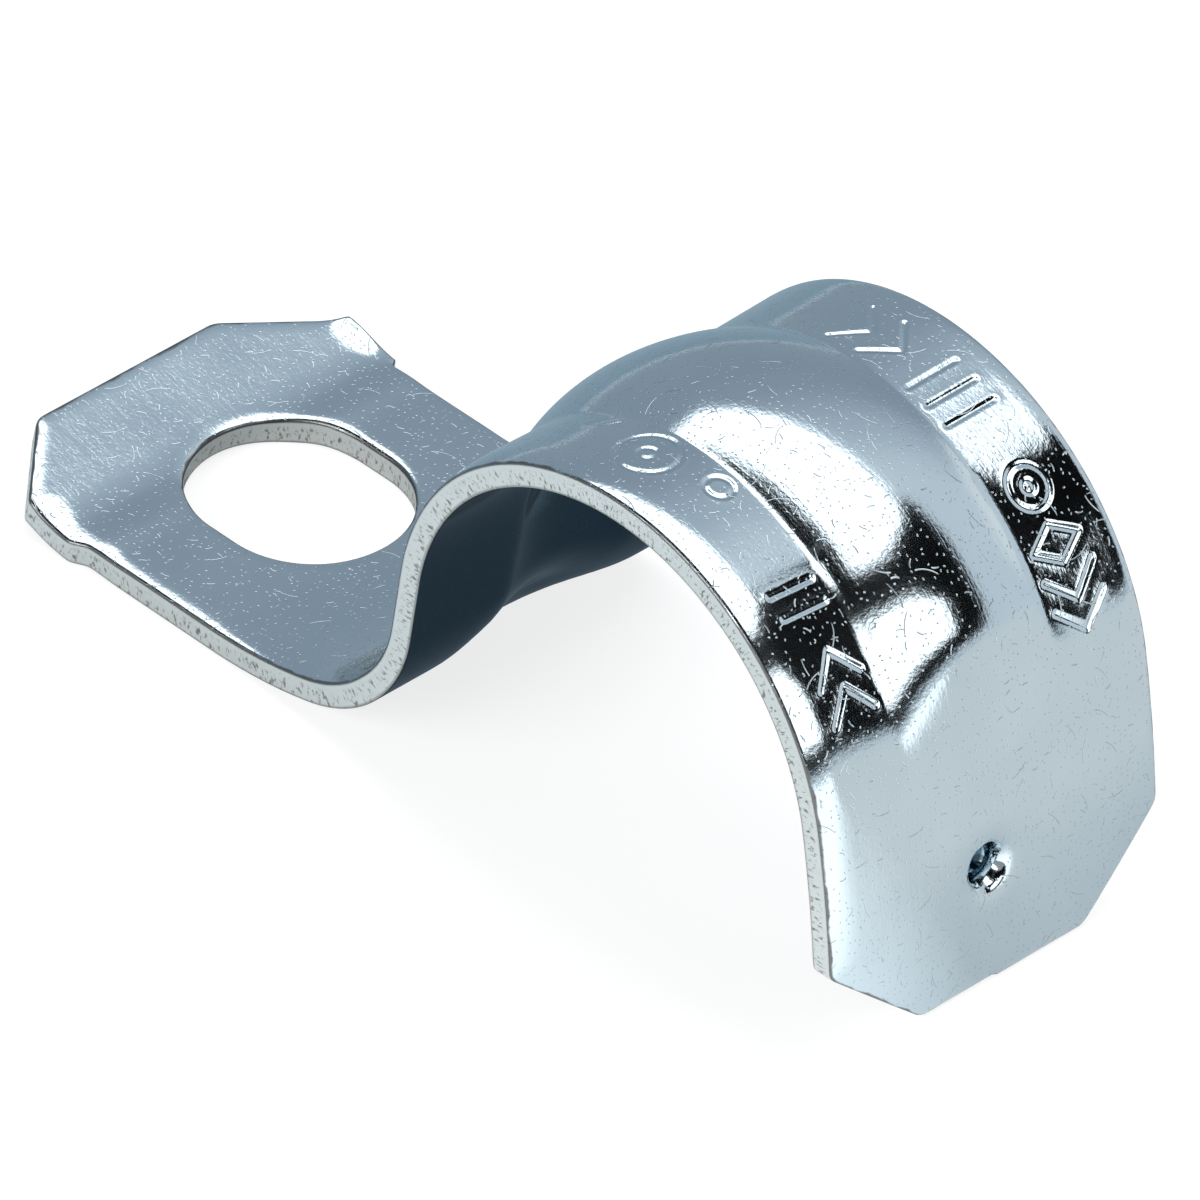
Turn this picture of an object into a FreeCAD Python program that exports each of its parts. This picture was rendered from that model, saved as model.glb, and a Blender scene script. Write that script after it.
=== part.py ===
import FreeCAD, Part
import math
import os
import Sketcher
from FreeCAD import Vector

# One-hole push-on strap for thin-wall conduit, folded from one strip of zinc-plated steel.
# The strip lies along X: the raised head and the screw foot are at -X, the saddle at +X.
# The finished frame has its origin on the conduit's axis, at mid-width, with +Z up.
# While it is built, X = 0 is the head's bend line and Z = 0 is the foot's underside.

# Driving sizes, in millimetres and degrees
sizes = [
    ("strip_width", 14.55, "width of the foot and the saddle"),
    ("sheet_thickness", 1.04, "gauge of the strip"),
    ("edge_roll", 0.2, "rounding that shearing leaves along the outer edges"),
    ("conduit_diameter", 17.93, "outside of half-inch thin-wall conduit"),
    ("seat_clearance", 0.035, "saddle radius beyond the conduit's"),
    ("front_wrap", 115.6, "angle of saddle that is concentric with the conduit"),
    ("rear_radius", 8.78, "inside radius of the tighter arc behind the crown"),
    ("rear_wrap", 45.5, "angle of the tighter arc"),
    ("riser_length", 2.48, "straight riser between the saddle and the bend"),
    ("riser_angle", 82.1, "slope of the riser from the foot's plane"),
    ("bend_radius", 5.31, "concave radius of the bend at the foot"),
    ("lead_radius", 18.2, "concave radius of the gentle start of that bend"),
    ("lead_angle", 14.1, "turn of the gentle start"),
    ("foot_flat", 6.43, "flat foot between its two bends"),
    ("tail_radius", 50.9, "slow outward curve of the tail"),
    ("head_width", 14.95, "width across the head's ears"),
    ("head_angle", 15.6, "upward tilt of the head"),
    ("head_radius", 5.97, "concave radius of the head's bend"),
    ("head_length", 3.2, "flat head beyond its bend"),
    ("ear_taper", 0.12, "narrowing of each ear towards the clipped corners"),
    ("near_clip_length", 2.6, "clipped corner of the head, near side, along the strip"),
    ("near_clip_width", 2.75, "the same across the strip"),
    ("far_clip_length", 2.35, "clipped corner of the head, far side, along the strip"),
    ("far_clip_width", 4.2, "the same across the strip"),
    ("slot_width", 6.85, "screw slot across the strip"),
    ("slot_length", 8.1, "screw slot along the strip"),
    ("slot_place", 3.0, "slot centre from the head's bend line"),
    ("bead_width", 6.3, "pressed stiffening bead over the saddle"),
    ("bead_height", 0.6, "rise of the bead's crown above the saddle"),
    ("bead_lead", 2.65, "run of the bead below the riser, into the bend"),
    ("bead_wrap", 75.7, "angle of bead along the concentric arc"),
    ("fade_radius", 4.7, "radius with which the bead's front end sinks away"),
    ("fade_angle", 44.0, "turn over which it sinks away"),
    ("tail_near_clip_height", 3.5, "clipped corner of the tail, near side, up the tail"),
    ("tail_near_clip_width", 4.0, "the same across the tail"),
    ("tail_far_clip_height", 3.2, "clipped corner of the tail, far side, up the tail"),
    ("tail_far_clip_width", 3.3, "the same across the tail"),
    ("pierce_diameter", 1.1, "bore of the small pierced hole in the tail"),
    ("pierce_mouth", 1.8, "mouth of its drawn-in dimple"),
    ("pierce_height", 4.3, "its height above the foot's underside"),
    ("pierce_offset", -0.25, "its place across the strip"),
    ("collar_diameter", 2.1, "outside of the lip pushed through behind it"),
    ("collar_depth", 0.4, "stand-out of that lip"),
]

doc = FreeCAD.newDocument("ConduitStrap")
sheet = doc.addObject("Spreadsheet::Sheet", "Sizes")
for row, (alias, value, note) in enumerate(sizes, start=1):
    sheet.set("A%d" % row, alias)
    sheet.set("B%d" % row, str(value))
    sheet.set("C%d" % row, note)
    sheet.setAlias("B%d" % row, alias)
doc.recompute()
size = {alias: value for alias, value, note in sizes}

body = doc.addObject("PartDesign::Body", "Strap")
body.Label = "strap"


def originPlane(role):
    """The body's own origin plane with that role."""
    for feature in body.Origin.OriginFeatures:
        if feature.Role == role:
            return feature
    raise ValueError(role)


def newSketch(name, role):
    sketch = body.newObject("Sketcher::SketchObject", name)
    sketch.AttachmentSupport = [(originPlane(role), "")]
    sketch.MapMode = "FlatFace"
    return sketch


def constrain(sketch, name, expression, *constraint):
    """Add a dimension, name it and bind it to the sheet."""
    index = sketch.addConstraint(Sketcher.Constraint(*constraint))
    sketch.renameConstraint(index, name)
    sketch.setExpression("Constraints." + name, expression)


def line(name, length, expression):
    return {"name": name, "length": length, "bound": expression}


def arc(name, radius, expression, turn, turnExpression, side):
    """An arc of the path: side +1 turns up and to the left, -1 to the right."""
    return {"name": name, "radius": radius, "bound": expression,
            "turn": math.radians(turn), "turnBound": turnExpression, "side": side}


def tracePath(sketch, start, heading, steps):
    """Draw tangent lines and arcs one after another, and return each one's index and ends."""
    drawn = []
    point = Vector(start[0], start[1], 0)
    for step in steps:
        ahead = Vector(math.cos(heading), math.sin(heading), 0)
        if "length" in step:
            goal = point + ahead * step["length"]
            index = sketch.addGeometry(Part.LineSegment(point, goal), False)
            ends = (1, 2)
            constrain(sketch, step["name"] + "Length", step["bound"],
                      "Distance", index, step["length"])
            point = goal
        else:
            left = Vector(-ahead.y, ahead.x, 0)
            centre = point + left * (step["radius"] * step["side"])
            first = math.atan2(point.y - centre.y, point.x - centre.x)
            last = first + step["turn"] * step["side"]
            circle = Part.Circle(centre, Vector(0, 0, 1), step["radius"])
            curve = Part.ArcOfCircle(circle, min(first, last), max(first, last))
            index = sketch.addGeometry(curve, False)
            ends = (1, 2) if step["side"] > 0 else (2, 1)
            constrain(sketch, step["name"] + "Radius", step["bound"],
                      "Radius", index, step["radius"])
            if step["turnBound"]:
                constrain(sketch, step["name"] + "Turn", step["turnBound"],
                          "Angle", index, step["turn"])
            reach = Vector(math.cos(last), math.sin(last), 0)
            point = centre + reach * step["radius"]
            heading += step["turn"] * step["side"]
        if drawn:
            before = drawn[-1]
            sketch.addConstraint(Sketcher.Constraint(
                "Tangent", before[0], before[1][1], index, ends[0]))
        drawn.append((index, ends))
    return drawn


def outline(sketch, corners):
    """Draw a closed polygon. Each corner has a name and its two coordinates, bound to the sheet."""
    count = len(corners)
    for index in range(count):
        here = corners[index]
        after = corners[(index + 1) % count]
        sketch.addGeometry(Part.LineSegment(Vector(here[1], here[2], 0),
                                            Vector(after[1], after[2], 0)), False)
    first = sketch.GeometryCount - count
    for index in range(count):
        name, across, up, acrossBound, upBound = corners[index]
        edge = first + index
        sketch.addConstraint(Sketcher.Constraint(
            "Coincident", edge, 2, first + (index + 1) % count, 1))
        constrain(sketch, name + "Across", acrossBound, "DistanceX", -1, 1, edge, 1, across)
        constrain(sketch, name + "Up", upBound, "DistanceY", -1, 1, edge, 1, up)


half = size["sheet_thickness"] / 2
halfBound = "Sizes.sheet_thickness / 2"

# The fold line is the middle of the sheet, seen from the side, from the head's end to the tail's.
saddleRadius = size["conduit_diameter"] / 2 + size["seat_clearance"] + half
saddleBound = "Sizes.conduit_diameter / 2 + Sizes.seat_clearance + " + halfBound
mainBend = arc("bend", size["bend_radius"] + half, "Sizes.bend_radius + " + halfBound,
               size["riser_angle"] - size["lead_angle"],
               "(Sizes.riser_angle - Sizes.lead_angle) * 1 deg", 1)
riser = line("riser", size["riser_length"], "Sizes.riser_length")
rearArc = arc("rear", size["rear_radius"] + half, "Sizes.rear_radius + " + halfBound,
              size["rear_wrap"], "Sizes.rear_wrap * 1 deg", -1)
# The arc around the conduit is drawn in two: the bead's hollow parts the first into two lands.
frontArc = arc("front", saddleRadius, saddleBound, size["bead_wrap"],
               "Sizes.bead_wrap * 1 deg", -1)
apronArc = arc("apron", saddleRadius, saddleBound, size["front_wrap"] - size["bead_wrap"],
               "(Sizes.front_wrap - Sizes.bead_wrap) * 1 deg", -1)
# The tail's turn is only a first guess: its end is held in the foot's plane below.
tailTurn = 10.0
tailArc = arc("tail", size["tail_radius"], "Sizes.tail_radius", tailTurn, "", -1)

foldLine = newSketch("FoldLine", "XZ_Plane")
steps = [
    line("foot", size["foot_flat"], "Sizes.foot_flat"),
    arc("lead", size["lead_radius"] + half, "Sizes.lead_radius + " + halfBound,
        size["lead_angle"], "Sizes.lead_angle * 1 deg", 1),
    mainBend, riser, rearArc, frontArc, apronArc, tailArc,
]
drawn = tracePath(foldLine, (0, half), 0.0, steps)
foot = drawn[0]
front = drawn[5]
tail = drawn[7]
foldLine.addConstraint(Sketcher.Constraint("Horizontal", foot[0]))
foldLine.addConstraint(Sketcher.Constraint("PointOnObject", foot[0], 1, -2))
constrain(foldLine, "footUp", halfBound, "DistanceY", -1, 1, foot[0], 1, half)
foldLine.addConstraint(Sketcher.Constraint("PointOnObject", tail[0], tail[1][1], -1))


def measure(sketch, name, *constraint):
    """A reference dimension that follows the geometry, for other features to read."""
    index = sketch.addConstraint(Sketcher.Constraint(*constraint))
    sketch.setDriving(index, False)
    sketch.renameConstraint(index, name)


centre = foldLine.Geometry[front[0]].Center
measure(foldLine, "conduitAcross", "DistanceX", -1, 1, front[0], 3, centre.x)
measure(foldLine, "conduitUp", "DistanceY", -1, 1, front[0], 3, centre.y)
tailCircle = foldLine.Geometry[tail[0]]
pierceRise = size["pierce_height"] - tailCircle.Center.y
pierceAcross = tailCircle.Center.x + math.sqrt(tailCircle.Radius ** 2 - pierceRise ** 2)
mark = foldLine.addGeometry(Part.Point(Vector(pierceAcross, size["pierce_height"], 0)), True)
foldLine.addConstraint(Sketcher.Constraint("PointOnObject", mark, 1, tail[0]))
constrain(foldLine, "pierceUp", "Sizes.pierce_height", "DistanceY", -1, 1, mark, 1,
          size["pierce_height"])
measure(foldLine, "pierceAcross", "DistanceX", -1, 1, mark, 1, pierceAcross)

# The head is folded up from the foot's end, so its line runs the other way, from X = 0.
headLine = newSketch("HeadLine", "XZ_Plane")
headDrawn = tracePath(headLine, (0, half), math.pi, [
    arc("headBend", size["head_radius"] + half, "Sizes.head_radius + " + halfBound,
        size["head_angle"], "Sizes.head_angle * 1 deg", -1),
    line("head", size["head_length"], "Sizes.head_length"),
])
headBend = headDrawn[0]
headLine.addConstraint(Sketcher.Constraint("PointOnObject", headBend[0], headBend[1][0], -2))
headEnd = headDrawn[1]
headReach = -headLine.Geometry[headEnd[0]].EndPoint.x
measure(headLine, "reach", "DistanceX", headEnd[0], headEnd[1][1], -1, 1, headReach)
constrain(headLine, "headUp", halfBound, "DistanceY", -1, 1, headBend[0], headBend[1][0], half)
headLine.addConstraint(Sketcher.Constraint("PointOnObject", headBend[0], 3, -2))


# The strip's section is square below, where the burr is, and rolled at its two upper edges.
def stripSection(name, width, widthBound):
    sketch = newSketch(name, "YZ_Plane")
    side = width / 2
    roll = size["edge_roll"]
    top = size["sheet_thickness"]
    shape = [
        Part.LineSegment(Vector(-side, 0, 0), Vector(side, 0, 0)),
        Part.LineSegment(Vector(side, 0, 0), Vector(side, top - roll, 0)),
        Part.ArcOfCircle(Part.Circle(Vector(side - roll, top - roll, 0), Vector(0, 0, 1), roll),
                         0, math.pi / 2),
        Part.LineSegment(Vector(side - roll, top, 0), Vector(roll - side, top, 0)),
        Part.ArcOfCircle(Part.Circle(Vector(roll - side, top - roll, 0), Vector(0, 0, 1), roll),
                         math.pi / 2, math.pi),
        Part.LineSegment(Vector(-side, top - roll, 0), Vector(-side, 0, 0)),
    ]
    sketch.addGeometry(shape, False)
    joints = [("Coincident", 0, 2, 1, 1), ("Tangent", 1, 2, 2, 1), ("Tangent", 2, 2, 3, 1),
              ("Tangent", 3, 2, 4, 1), ("Tangent", 4, 2, 5, 1), ("Coincident", 5, 2, 0, 1),
              ("PointOnObject", 0, 1, -1), ("Horizontal", 3), ("Vertical", 1), ("Vertical", 5),
              ("Symmetric", 0, 1, 0, 2, -1, 1), ("Equal", 2, 4)]
    for joint in joints:
        sketch.addConstraint(Sketcher.Constraint(*joint))
    constrain(sketch, "width", widthBound, "DistanceX", 0, 1, 0, 2, width)
    constrain(sketch, "gauge", "Sizes.sheet_thickness", "DistanceY", 0, 1, 3, 1, top)
    constrain(sketch, "roll", "Sizes.edge_roll", "Radius", 2, roll)
    return sketch


def newFeature(kind, name, profile):
    """A solid feature that keeps the faces of neighbouring arcs apart."""
    feature = body.newObject("PartDesign::" + kind, name)
    feature.Profile = profile
    feature.Refine = False
    return feature


def sweep(kind, name, section, path):
    pipe = newFeature(kind, name, section)
    edges = [index for index in range(path.GeometryCount) if not path.getConstruction(index)]
    pipe.Spine = (path, ["Edge%d" % (index + 1) for index in edges])
    pipe.Mode = "Standard"
    doc.recompute()
    return pipe


def volume():
    return body.Shape.Volume


sweep("AdditivePipe", "Strip", stripSection("StripSection", size["strip_width"],
                                            "Sizes.strip_width"), foldLine)
sweep("AdditivePipe", "Head", stripSection("HeadSection", size["head_width"],
                                           "Sizes.head_width"), headLine)

# The bead follows the fold line, then sinks below the surface at both ends.
beadLine = newSketch("BeadLine", "XZ_Plane")
beadLead = size["bead_lead"] + size["riser_length"]
beadStart = foldLine.Geometry[drawn[3][0]].StartPoint
slope = math.radians(size["riser_angle"])
beadStart = beadStart - Vector(math.cos(slope), math.sin(slope), 0) * size["bead_lead"]
beadDrawn = tracePath(beadLine, (beadStart.x, beadStart.y), slope, [
    line("lead", beadLead, "Sizes.bead_lead + Sizes.riser_length"),
    rearArc,
    frontArc,
    arc("fade", size["fade_radius"], "Sizes.fade_radius", size["fade_angle"],
        "Sizes.fade_angle * 1 deg", -1),
])
beadFront = beadDrawn[2][0]
constrain(beadLine, "slope", "Sizes.riser_angle * 1 deg", "Angle", beadDrawn[0][0], slope)
constrain(beadLine, "across", "FoldLine.Constraints.conduitAcross",
          "DistanceX", -1, 1, beadFront, 3, centre.x)
constrain(beadLine, "up", "FoldLine.Constraints.conduitUp",
          "DistanceY", -1, 1, beadFront, 3, centre.y)
doc.recompute()
crownRadius = size["bead_width"] ** 2 / (8 * size["bead_height"]) + size["bead_height"] / 2
crownBound = "Sizes.bead_width ^ 2 / (8 * Sizes.bead_height) + Sizes.bead_height / 2"
crownCentre = half + size["bead_height"] - crownRadius
crownCentreBound = halfBound + " + Sizes.bead_height - (" + crownBound + ")"


# The bead's section is a slice of a circle, square to the start of the bead's line.
def beadSection(name, radius, radiusBound, chord, chordBound):
    sketch = body.newObject("Sketcher::SketchObject", name)
    sketch.AttachmentSupport = [(beadLine, "Edge1")]
    sketch.MapMode = "NormalToEdge"
    reach = math.sqrt(radius ** 2 - (chord - crownCentre) ** 2)
    tilt = math.atan2(chord - crownCentre, reach)
    circle = Part.Circle(Vector(0, crownCentre, 0), Vector(0, 0, 1), radius)
    sketch.addGeometry([Part.ArcOfCircle(circle, tilt, math.pi - tilt),
                        Part.LineSegment(Vector(-reach, chord, 0), Vector(reach, chord, 0))], False)
    joints = [("Coincident", 0, 2, 1, 1), ("Coincident", 1, 2, 0, 1), ("Horizontal", 1),
              ("PointOnObject", 0, 3, -2)]
    for joint in joints:
        sketch.addConstraint(Sketcher.Constraint(*joint))
    constrain(sketch, "crownRadius", radiusBound, "Radius", 0, radius)
    constrain(sketch, "crownUp", crownCentreBound, "DistanceY", -1, 1, 0, 3, crownCentre)
    constrain(sketch, "chordUp", chordBound, "DistanceY", -1, 1, 1, 1, chord)
    return sketch


beadChord = size["sheet_thickness"] / 4
sweep("AdditivePipe", "Bead", beadSection("BeadSection", crownRadius, crownBound, beadChord,
                                          "Sizes.sheet_thickness / 4"), beadLine)
recessChord = -size["sheet_thickness"] / 2 - size["bead_height"]
sweep("SubtractivePipe", "BeadHollow", beadSection(
    "HollowSection", crownRadius - size["sheet_thickness"],
    crownBound + " - Sizes.sheet_thickness", recessChord,
    "-Sizes.sheet_thickness / 2 - Sizes.bead_height"), beadLine)


def cut(name, sketch, reversedCut=False, bothWays=False):
    """Cut a sketch right through, and make sure that it took something away."""
    doc.recompute()
    before = volume()
    pocket = newFeature("Pocket", name, sketch)
    pocket.Type = "ThroughAll"
    pocket.Midplane = bothWays
    pocket.Reversed = reversedCut
    doc.recompute()
    if volume() >= before:
        raise ValueError(name + " cuts nothing")


# The ears narrow towards the clipped corners of the head. Each cut starts clear of the sheet.
margin = 1.0
earPlan = newSketch("EarPlan", "XY_Plane")
ear = size["head_width"] / 2
for side, sign, clipLength, clipWidth in (("near", "-", "near_clip_length", "near_clip_width"),
                                          ("far", "", "far_clip_length", "far_clip_width")):
    way = -1 if sign else 1
    tip = ear - size[clipWidth]
    shoulder = ear - size["ear_taper"]
    clear = ear + margin
    earBound = "Sizes.head_width / 2"
    tipBound = sign + "(%s - Sizes.%s)" % (earBound, clipWidth)
    clearBound = sign + "(%s + %g)" % (earBound, margin)
    startBound = "-HeadLine.Constraints.reach"
    outsideBound = startBound + " - %g mm" % margin
    outline(earPlan, [
        (side + "Clear", -headReach - margin, way * clear, outsideBound, clearBound),
        (side + "End", -headReach - margin, way * tip, outsideBound, tipBound),
        (side + "Tip", -headReach, way * tip, startBound, tipBound),
        (side + "Shoulder", size[clipLength] - headReach, way * shoulder,
         startBound + " + Sizes.%s * 1 mm" % clipLength, sign + "(%s - Sizes.ear_taper)" % earBound),
        (side + "Root", 0, way * ear, "0", sign + earBound),
        (side + "Out", 0, way * clear, "0", clearBound),
    ])
cut("EarCorners", earPlan, bothWays=True)

# The screw slot is a round-ended slot across the head's bend line.
slotPlan = newSketch("SlotPlan", "XY_Plane")
slotRadius = size["slot_width"] / 2
slotStraight = size["slot_length"] / 2 - slotRadius
slotLeft = size["slot_place"] - slotStraight
slotRight = size["slot_place"] + slotStraight
upright = Vector(0, 0, 1)
slotPlan.addGeometry([
    Part.LineSegment(Vector(slotLeft, -slotRadius, 0), Vector(slotRight, -slotRadius, 0)),
    Part.ArcOfCircle(Part.Circle(Vector(slotRight, 0, 0), upright, slotRadius),
                     -math.pi / 2, math.pi / 2),
    Part.LineSegment(Vector(slotRight, slotRadius, 0), Vector(slotLeft, slotRadius, 0)),
    Part.ArcOfCircle(Part.Circle(Vector(slotLeft, 0, 0), upright, slotRadius),
                     math.pi / 2, 3 * math.pi / 2),
], False)
for joint in [("Tangent", 0, 2, 1, 1), ("Tangent", 1, 2, 2, 1), ("Tangent", 2, 2, 3, 1),
              ("Tangent", 3, 2, 0, 1), ("Horizontal", 0), ("Horizontal", 2),
              ("PointOnObject", 1, 3, -1)]:
    slotPlan.addConstraint(Sketcher.Constraint(*joint))
constrain(slotPlan, "radius", "Sizes.slot_width / 2", "Radius", 1, slotRadius)
constrain(slotPlan, "right", "Sizes.slot_place + (Sizes.slot_length - Sizes.slot_width) / 2",
          "DistanceX", -1, 1, 1, 3, slotRight)
constrain(slotPlan, "left", "Sizes.slot_place - (Sizes.slot_length - Sizes.slot_width) / 2",
          "DistanceX", -1, 1, 3, 3, slotLeft)
cut("ScrewSlot", slotPlan, bothWays=True)

# The tail's corners are clipped, from a plane through the conduit's axis outwards.
tailPlan = newSketch("TailPlan", "YZ_Plane")
tailPlan.AttachmentOffset = FreeCAD.Placement(Vector(0, 0, centre.x), FreeCAD.Rotation())
tailPlan.setExpression("AttachmentOffset.Base.z", "FoldLine.Constraints.conduitAcross")
edge = size["strip_width"] / 2
for side, sign, clipHeight, clipWidth in (
        ("near", "-", "tail_near_clip_height", "tail_near_clip_width"),
        ("far", "", "tail_far_clip_height", "tail_far_clip_width")):
    way = -1 if sign else 1
    tip = edge - size[clipWidth]
    edgeBound = "Sizes.strip_width / 2"
    tipBound = sign + "(%s - Sizes.%s)" % (edgeBound, clipWidth)
    clearBound = sign + "(%s + %g)" % (edgeBound, margin)
    outline(tailPlan, [
        (side + "Clear", way * (edge + margin), -margin, clearBound, "-%g" % margin),
        (side + "End", way * tip, -margin, tipBound, "-%g" % margin),
        (side + "Tip", way * tip, 0, tipBound, "0"),
        (side + "Shoulder", way * edge, size[clipHeight], sign + edgeBound,
         "Sizes." + clipHeight),
        (side + "Out", way * (edge + margin), size[clipHeight], clearBound,
         "Sizes." + clipHeight),
    ])
cut("TailCorners", tailPlan, reversedCut=True)


def turnedSection(name):
    """A sketch in the strap's length, level with the pierced hole."""
    sketch = newSketch(name, "XZ_Plane")
    sketch.AttachmentOffset = FreeCAD.Placement(Vector(0, 0, -size["pierce_offset"]),
                                                FreeCAD.Rotation())
    sketch.setExpression("AttachmentOffset.Base.z", "-Sizes.pierce_offset")
    axis = sketch.addGeometry(Part.LineSegment(Vector(0, size["pierce_height"], 0),
                                               Vector(1, size["pierce_height"], 0)), True)
    sketch.addConstraint(Sketcher.Constraint("Horizontal", axis))
    sketch.addConstraint(Sketcher.Constraint("PointOnObject", axis, 1, -2))
    constrain(sketch, "axisUp", "Sizes.pierce_height", "DistanceY", -1, 1, axis, 1,
              size["pierce_height"])
    sketch.addConstraint(Sketcher.Constraint("DistanceX", axis, 1, axis, 2, 1))
    return sketch


# The small hole in the tail is drawn in from outside, and leaves a lip on the conduit's side.
middle = "FoldLine.Constraints.pierceAcross"
axisBound = "Sizes.pierce_height"
lipEnd = pierceAcross - half - size["collar_depth"]
lipEndBound = middle + " - (%s + Sizes.collar_depth) * 1 mm" % halfBound
collarSection = turnedSection("CollarSection")
collarTop = size["pierce_height"] + size["collar_diameter"] / 2
collarTopBound = axisBound + " + Sizes.collar_diameter / 2"
outline(collarSection, [
    ("lipLow", lipEnd, size["pierce_height"], lipEndBound, axisBound),
    ("rootLow", pierceAcross, size["pierce_height"], middle, axisBound),
    ("rootHigh", pierceAcross, collarTop, middle, collarTopBound),
    ("lipHigh", lipEnd, collarTop, lipEndBound, collarTopBound),
])
doc.recompute()
collar = newFeature("Revolution", "Collar", collarSection)
collar.ReferenceAxis = (collarSection, ["Axis0"])
collar.Angle = 360
doc.recompute()

boreTop = size["pierce_height"] + size["pierce_diameter"] / 2
boreTopBound = axisBound + " + Sizes.pierce_diameter / 2"
mouthTop = size["pierce_height"] + size["pierce_mouth"] / 2
mouthTopBound = axisBound + " + Sizes.pierce_mouth / 2"
clearIn = lipEnd - margin
clearInBound = lipEndBound + " - %g mm" % margin
clearOut = pierceAcross + half + margin
clearOutBound = middle + " + %s * 1 mm + %g mm" % (halfBound, margin)
surface = pierceAcross + half
surfaceBound = middle + " + %s * 1 mm" % halfBound
pierceSection = turnedSection("PierceSection")
outline(pierceSection, [
    ("inLow", clearIn, size["pierce_height"], clearInBound, axisBound),
    ("outLow", clearOut, size["pierce_height"], clearOutBound, axisBound),
    ("outHigh", clearOut, mouthTop, clearOutBound, mouthTopBound),
    ("mouth", surface, mouthTop, surfaceBound, mouthTopBound),
    ("throat", pierceAcross, boreTop, middle, boreTopBound),
    ("inHigh", clearIn, boreTop, clearInBound, boreTopBound),
])
doc.recompute()
before = volume()
pierce = newFeature("Groove", "PiercedHole", pierceSection)
pierce.ReferenceAxis = (pierceSection, ["Axis0"])
pierce.Angle = 360
doc.recompute()
if volume() >= before:
    raise ValueError("the pierced hole cuts nothing")

# The body moves so that the conduit's axis passes through the origin.
body.setExpression("Placement.Base.x", "-FoldLine.Constraints.conduitAcross")
body.setExpression("Placement.Base.z", "-FoldLine.Constraints.conduitUp")
doc.recompute()

parts = [body]
for thing in doc.Objects:
    if "Invalid" in thing.State or "Error" in thing.State:
        raise ValueError("%s failed: %s" % (thing.Name, thing.getStatusString()))
os.makedirs("parts", exist_ok=True)
for part in parts:
    if part.Shape.isNull() or not part.Shape.isValid():
        raise ValueError(part.Label + " has no valid shape")
for part in parts:
    part.Shape.exportStep("parts/" + part.Label + ".step")
    print(part.Label, len(part.Shape.Solids), "solid", round(part.Shape.Volume, 3), "mm3")
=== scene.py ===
import math

import bpy
import numpy as np
from mathutils import Matrix, Vector
from mathutils.geometry import delaunay_2d_cdt


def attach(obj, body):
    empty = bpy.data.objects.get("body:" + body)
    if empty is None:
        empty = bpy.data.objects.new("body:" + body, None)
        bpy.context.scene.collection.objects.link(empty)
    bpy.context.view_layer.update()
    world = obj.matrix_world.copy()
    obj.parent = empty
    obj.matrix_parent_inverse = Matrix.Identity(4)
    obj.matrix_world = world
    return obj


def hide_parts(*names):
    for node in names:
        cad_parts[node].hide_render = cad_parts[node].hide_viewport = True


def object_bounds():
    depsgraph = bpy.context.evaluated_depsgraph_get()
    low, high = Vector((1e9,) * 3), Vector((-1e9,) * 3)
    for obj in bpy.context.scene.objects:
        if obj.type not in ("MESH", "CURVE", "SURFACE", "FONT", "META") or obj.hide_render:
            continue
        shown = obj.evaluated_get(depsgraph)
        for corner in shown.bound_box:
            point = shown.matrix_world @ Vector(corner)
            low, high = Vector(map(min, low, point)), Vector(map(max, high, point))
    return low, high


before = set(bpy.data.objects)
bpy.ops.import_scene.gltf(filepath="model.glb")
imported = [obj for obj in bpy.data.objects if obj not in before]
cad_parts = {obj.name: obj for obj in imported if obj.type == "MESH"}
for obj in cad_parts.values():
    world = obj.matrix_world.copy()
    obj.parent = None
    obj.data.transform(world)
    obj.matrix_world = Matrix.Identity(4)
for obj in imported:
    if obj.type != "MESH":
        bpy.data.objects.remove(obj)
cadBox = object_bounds()
millimetre = 0.001

# The strap is made the way a press makes it: a flat blank with sheared edges, a slot and a
# pierced hole is ribbed, stamped and then folded along one line.
# Blank coordinates are in millimetres: u runs along the strip from the head's bend line,
# y across it, and n through the sheet, from its middle.


def addNode(tree, kind, settings=None, inputs=None, output=0):
    # Adds a node, sets or links its inputs and gives one of its outputs.
    node = tree.nodes.new(kind)
    for name, value in (settings or {}).items():
        setattr(node, name, value)
    for name, value in (inputs or {}).items():
        if isinstance(value, bpy.types.NodeSocket):
            tree.links.new(value, node.inputs[name])
        else:
            node.inputs[name].default_value = value
    return node.outputs[output] if node.outputs else node


def hexColour(code):
    # sRGB hex to linear RGBA
    channels = [int(code[i:i + 2], 16) / 255 for i in (1, 3, 5)]
    linear = [c / 12.92 if c <= 0.04045 else ((c + 0.055) / 1.055) ** 2.4 for c in channels]
    return (*linear, 1.0)


def smooth(value, low, high):
    share = np.clip((value - low) / (high - low), 0, 1)
    return share * share * (3 - 2 * share)


def softMax(value, floor, rounding):
    # The larger of the two, with the corner between them rounded
    return floor + (value - floor + np.sqrt((value - floor) ** 2 + rounding ** 2)) / 2


# Fold line

# Radii are those of the side that each bend closes on, but the tail's is that of its middle.
# Angles are in degrees, and the lift keeps the torn edge above the floor.
fold = {
    "gauge": 1.04,
    "headFlat": 3.2, "headRadius": 5.97, "headTilt": 15.6,
    "footFlat": 6.43, "leadRadius": 18.2, "leadTurn": 14.1,
    "bendRadius": 5.31, "riserSlope": 82.1, "riserFlat": 2.48,
    "rearRadius": 8.78, "rearTurn": 45.5,
    "seatRadius": 9.0, "frontTurn": 115.6, "tailRadius": 50.9,
    "step": 0.1, "lift": 0.0035,
}
half = fold["gauge"] / 2


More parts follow.
